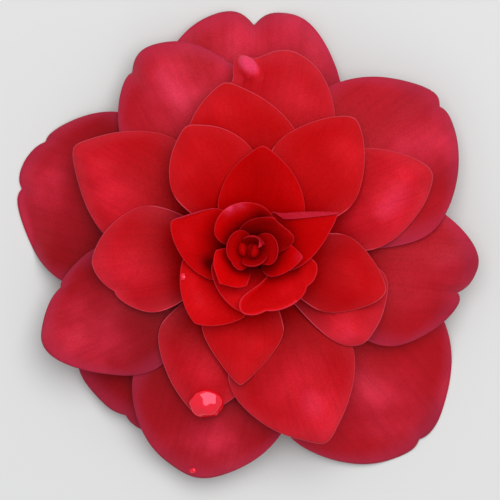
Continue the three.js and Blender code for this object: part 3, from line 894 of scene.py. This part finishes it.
# %% Bud petals
BUD = dict(
    seat=21.3, level_step=0.5, root_radius=0.9, claw=1.6, rise=74, droop=75, shoulder=0.3,
    blunt=2.4, round=True, blush_and_highlight=0.1, reflex=0, ripple=0.08,
)
BUD_PETALS = [
    dict(azimuth=166, reach=5.2, left=4, right=4, tip=27.6),
    dict(azimuth=0, reach=5.3, left=4, right=3.4, tip=28.2),
    dict(azimuth=78, reach=2.7, left=2.6, right=2.8, tip=27.2, level=1, droop=118,
         notches=[(-0.65, -1, 0.2)], painted_highlights=[(7.4, -1.8, 1, 0.8)]),
    dict(azimuth=284, reach=3.2, left=3, right=3, tip=27.4, level=1, droop=112),
    dict(azimuth=224, reach=4.9, left=1.8, right=1.8, tip=26.8, level=0.3),
]

for number, own in enumerate(BUD_PETALS, 1):
    seed += 1
    skins = [faces["bud_petal"], back_red]
    make_petal(f"bud_petal_{number}", "heart_bud", petal_of(BUD, own), seed, skins)
print("bud petals:", len(BUD_PETALS))

# %% Spun shapes
SPIN_STEPS = 32
ROUNDING = 2


def spun_body(outline):
    body = bmesh.new()
    points = [body.verts.new((radius, 0, height)) for radius, height in outline]
    edges = [body.edges.new(pair) for pair in zip(points, points[1:])]
    bmesh.ops.spin(
        body, geom=points + edges, cent=(0, 0, 0), axis=(0, 0, 1), angle=2 * math.pi,
        steps=SPIN_STEPS, use_merge=True,
    )
    bmesh.ops.remove_doubles(body, verts=body.verts, dist=0.01)
    bmesh.ops.recalc_face_normals(body, faces=body.faces)
    return body


def finished(name, body, crown=None):
    # A body in millimetres becomes a mesh. Below its crown it takes the Root colour, the
    # receptacle's green foot.
    depth = body.verts.layers.float.new("depth")
    for vert in body.verts:
        vert[depth] = 1 - smoothstep(vert.co.z, *crown) if crown else 0
    bmesh.ops.scale(body, verts=body.verts, vec=(MM, MM, MM))
    mesh = bpy.data.meshes.new(name)
    body.to_mesh(mesh)
    body.free()
    return mesh


def round_off(piece):
    surface = piece.modifiers.new("rounding", "SUBSURF")
    surface.levels = ROUNDING
    surface.render_levels = ROUNDING


print("a spun shape has", SPIN_STEPS, "steps")

# %% Rolled petals
ROLLS = [
    dict(x=-1.9, y=0.1, turn=10, top=26.6, seam=200),
    dict(x=0.5, y=-0.2, turn=-10, top=26.9, seam=30),
]
ROLL_OUTLINE = [  # radius, and share of the height
    (0.001, 0), (0.5, 0), (0.9, 0.45), (1, 0.75), (0.75, 0.93), (0.3, 1), (0.001, 1),
]
ROLL_FOOT = 22
ROLL_DEPTH = 1.5
SEAM_TWIST = 160
SEAM_DEPTH = 0.35
SEAM_WIDTH = 25


def roll_body(roll):
    height = roll["top"] - ROLL_FOOT
    body = spun_body([(radius, ROLL_FOOT + height * share) for radius, share in ROLL_OUTLINE])
    for vert in body.verts:
        share = (vert.co.z - ROLL_FOOT) / height
        angle = math.degrees(math.atan2(vert.co.y, vert.co.x))
        from_seam = (angle - roll["seam"] - SEAM_TWIST * share + 180) % 360 - 180
        tuck = 1 - SEAM_DEPTH * bell(from_seam, SEAM_WIDTH)
        vert.co.x *= tuck
        vert.co.y *= tuck * ROLL_DEPTH
    turned = Matrix.Rotation(math.radians(roll["turn"]), 3, "Z")
    bmesh.ops.rotate(body, verts=body.verts, cent=(0, 0, 0), matrix=turned)
    bmesh.ops.translate(body, verts=body.verts, vec=(roll["x"], roll["y"], 0))
    return body


for number, roll in enumerate(ROLLS, 1):
    name = f"bud_roll_{number}"
    mesh = finished(name, roll_body(roll))
    round_off(put_in_scene(name, mesh, "heart_bud", [faces["bud_roll"]]))
print("rolled petals:", len(ROLLS))

# %% [markdown]
# ## Underneath
# The receptacle is the swollen end of the stalk that every petal grows from, green at its foot
# and red between the petals. Sepals and bracts cup its foot, silky green and browning at their
# margins, and they are made as petals are. The receptacle and the bud's cone are outlines spun
# round the axis, and a Subdivision Surface rounds them.

# %% Green tissue
GREEN_GLOSS_TINT = colour(0.9, 1, 0.7)
face_green = tissue_material(
    "sepal face",
    [colour(0.11, 0.16, 0.035), colour(0.13, 0.17, 0.04), colour(0.2, 0.2, 0.06),
     colour(0.22, 0.11, 0.04)],
    [0.3, 0.4, 0.8, 0.2], 0.2, GREEN_GLOSS_TINT,
)
core_green = tissue_material(
    "receptacle skin",
    [colour(0.2, 0.22, 0.07), colour(0.2, 0.002, 0.003), colour(0.2, 0.002, 0.003),
     colour(0.3, 0.3, 0.1)],
    [0, 0.5, 0, 0], 0.2, GREEN_GLOSS_TINT,
)
print("green materials:", face_green.name, "and", core_green.name)

# %% Receptacle and cone
CROWN_ZONE = (4, 8)  # the heights between which the receptacle turns from green to red
BUD_CONE = [(0, 20.5), (1.5, 20.5), (1.9, 22), (1.5, 23.5), (0, 23.5)]

receptacle_outline = [(0, 0), *RECEPTACLE, (0, RECEPTACLE[-1][1])]
receptacle = finished("receptacle", spun_body(receptacle_outline), CROWN_ZONE)
round_off(put_in_scene("receptacle", receptacle, "calyx", [core_green]))
cone = finished("bud_cone", spun_body(BUD_CONE))
round_off(put_in_scene("bud_cone", cone, "heart_bud", [faces["bud_roll"]]))
print("receptacle's height:", RECEPTACLE[-1][1], "mm")

# %% Sepals and bracts
CALYX = dict(
    level_step=0.35, root_radius=3.4, claw=6, rise=10, droop=8, blunt=2, cup=-0.3, blush_and_highlight=0.4,
    thickness=0.6, reflex=0.1,
)
BRACT = dict(reach=9, left=4.5, right=4.5, seat=2.1, tip=2.5)
BRACTS = 3
FIRST_BRACT = 20
SEPAL = dict(reach=12.6, left=6, right=6, seat=2.6)
SEPAL_TIPS = (4.4, 4.4, 4, 4.4, 4.4)
SEPAL_LEVELS = (1, 1, 0, 1, 0)
FIRST_SEPAL = 66

for number in range(BRACTS):
    seed += 1
    bract = petal_of(CALYX, dict(BRACT, azimuth=FIRST_BRACT + number * 360 / BRACTS))
    make_petal(f"bract_{number + 1}", "calyx", bract, seed, [face_green, face_green])
for number, (tip, level) in enumerate(zip(SEPAL_TIPS, SEPAL_LEVELS)):
    seed += 1
    azimuth = FIRST_SEPAL + number * 360 / len(SEPAL_TIPS)
    sepal = petal_of(CALYX, dict(SEPAL, azimuth=azimuth, tip=tip, level=level))
    make_petal(f"sepal_{number + 1}", "calyx", sepal, seed, [face_green, face_green])
print("calyx:", BRACTS, "bracts and", len(SEPAL_TIPS), "sepals")

# %% [markdown]
# ## Water
# Rain has left a large drop at the tip of one petal, and a few small ones. Water pulls itself
# into a flat dome, so a drop is a sphere squashed from above, with its underside flattened more
# and a slight wobble. Clear water on a red petal looks red, with one bright light on it. Glass
# with nothing of its own would do, but the pale sky shows in it too strongly. So the drop is red
# itself, very glossy, and only a little clear.

# %% Water material
# The drop's red Base Color is painted, standing in for the red petal seen through clear water.
WATER = {
    "Base Color": colour(0.95, 0.004, 0.015), "Transmission Weight": 0.08, "Roughness": 0.03,
    "IOR": 1.6, "Specular IOR Level": 1, "Specular Tint": colour(1, 0.4, 0.6),
}
water, water_shader = new_material("water")
set_inputs(water_shader, WATER)
print("water values:", len(WATER))

# %% Drops
DROPS = [
    dict(petal=("outer_petal", 4), u=0.93, across=0.14, size=(3.5, 2.9, 1.7)),
    dict(petal=("guard_petal", 6), u=0.97, across=0.05, size=(0.7, 0.6, 0.45)),
    dict(petal=("inner_petal", 4), u=0.93, across=-0.7, size=(0.6, 0.8, 0.45)),
    dict(petal=("outer_petal", 7), u=0.7, across=0.5, size=(0.5, 0.5, 0.35)),
]
DROP_WOBBLE = 0.16
DROP_WOBBLE_SCALE = 1.7
DROP_FLOOR = 0.25  # how deep the flat underside goes, as a share of the height
NEARBY = 0.05  # how far off, on the grid, the slope under a drop is measured


def drop_mesh(name, drop):
    whorl_name, number = drop["petal"]
    whorl = WHORLS[whorl_name]
    petal = petal_of(whorl, whorl["petals"][number - 1])
    turned = Matrix.Rotation(math.radians(petal["azimuth"]), 3, "Z")
    here = turned @ blade_point(petal, drop["u"], drop["across"])
    inward = turned @ blade_point(petal, drop["u"] - NEARBY, drop["across"])
    sideward = turned @ blade_point(petal, drop["u"], drop["across"] + NEARBY)
    normal = (here - inward).cross(sideward - here).normalized()
    here.z += shared_swell(here) + petal["thickness"] / 2
    body = bmesh.new()
    bmesh.ops.create_uvsphere(body, u_segments=32, v_segments=20, radius=1)
    for vert in body.verts:
        if vert.co.z > 0:
            vert.co *= 1 + DROP_WOBBLE * noise.noise(vert.co * DROP_WOBBLE_SCALE)
        vert.co.z = max(vert.co.z, -DROP_FLOOR)
    bmesh.ops.scale(body, verts=body.verts, vec=drop["size"])
    lean = Vector((0, 0, 1)).rotation_difference(normal).to_matrix()
    bmesh.ops.rotate(body, verts=body.verts, cent=(0, 0, 0), matrix=lean)
    bmesh.ops.translate(body, verts=body.verts, vec=here)
    return finished(name, body)


for number, drop in enumerate(DROPS, 1):
    name = f"water_drop_{number}"
    put_in_scene(name, drop_mesh(name, drop), None, [water])
print("drops:", len(DROPS))

# %% [markdown]
# ## Floor and light
# The flower lies on pale paper, far wider than it is, so that no edge shows. One broad lamp
# stands high over it, a little behind and to the right, and a pale even sky fills the shadows.
# A small lamp would draw hard shadows between the petals and hide the deep whorls.

# %% Floor
FLOOR_SIDE = 4
PAPER = {"Base Color": colour(0.72, 0.71, 0.69), "Roughness": 0.9}

floor_sheet = bmesh.new()
bmesh.ops.create_grid(floor_sheet, x_segments=1, y_segments=1, size=FLOOR_SIDE / 2)
floor_mesh = bpy.data.meshes.new("floor")
floor_sheet.to_mesh(floor_mesh)
floor_sheet.free()
floor = bpy.data.objects.new("floor", floor_mesh)
scene.collection.objects.link(floor)
paper, paper_shader = new_material("floor paper")
set_inputs(paper_shader, PAPER)
floor_mesh.materials.append(paper)
print("floor:", FLOOR_SIDE, "m square")

# %% Lamp and sky
LAMP_PLACE = Vector((0.12, 0.24, 0.9))
LAMP_SIZE = 1
LAMP_POWER = 6.6
SKY = {"Color": colour(0.9, 0.95, 1), "Strength": 0.55}

lamp_data = bpy.data.lights.new("overhead", "AREA")
lamp_data.shape = "DISK"
lamp_data.size = LAMP_SIZE
lamp_data.energy = LAMP_POWER
lamp = bpy.data.objects.new("overhead", lamp_data)
lamp.location = LAMP_PLACE
lamp.rotation_euler = (-LAMP_PLACE).to_track_quat("-Z", "Y").to_euler()
scene.collection.objects.link(lamp)
world = bpy.data.worlds.new("studio")
world.use_nodes = True
set_inputs(world.node_tree.nodes["Background"], SKY)
scene.world = world
print("lamp:", LAMP_POWER, "W, disk of", LAMP_SIZE, "m")
